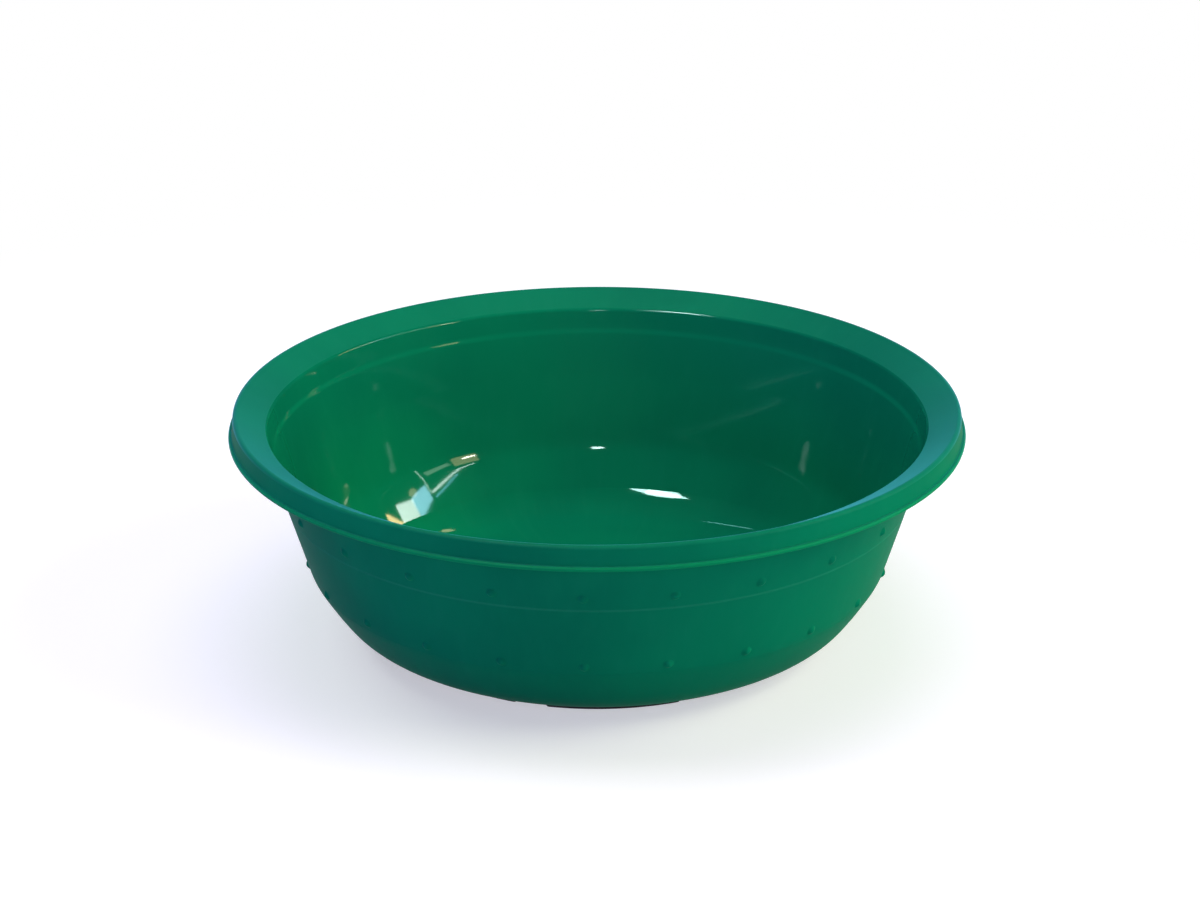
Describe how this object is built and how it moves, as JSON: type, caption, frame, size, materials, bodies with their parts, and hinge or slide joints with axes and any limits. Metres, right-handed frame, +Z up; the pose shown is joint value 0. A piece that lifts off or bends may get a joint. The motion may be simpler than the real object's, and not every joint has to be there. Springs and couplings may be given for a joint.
{
  "type": "plastic basin",
  "caption": "Round open plastic basin for picking, washing and carrying produce, with a sloping turned-down rim and anti-slip foot pads under its flat base.",
  "frame": {"origin": "centre of the circle that the foot pads stand on, at the level of their undersides", "axes": "+Z up along the bowl's axis, -Y towards the front of the picture, +X to its right"},
  "size_m": [0.4063, 0.4064, 0.1311],
  "materials": {
    "green_plastic": "glossy moulded polypropylene",
    "pad_rubber": "matte dark rubber"
  },
  "bodies": {
    "root": {"basin": "green_plastic", "foot_pad_1": "pad_rubber", "foot_pad_2": "pad_rubber", "foot_pad_3": "pad_rubber", "foot_pad_4": "pad_rubber", "foot_pad_5": "pad_rubber", "foot_pad_6": "pad_rubber", "foot_pad_7": "pad_rubber", "foot_pad_8": "pad_rubber"}
  },
  "joints": []
}
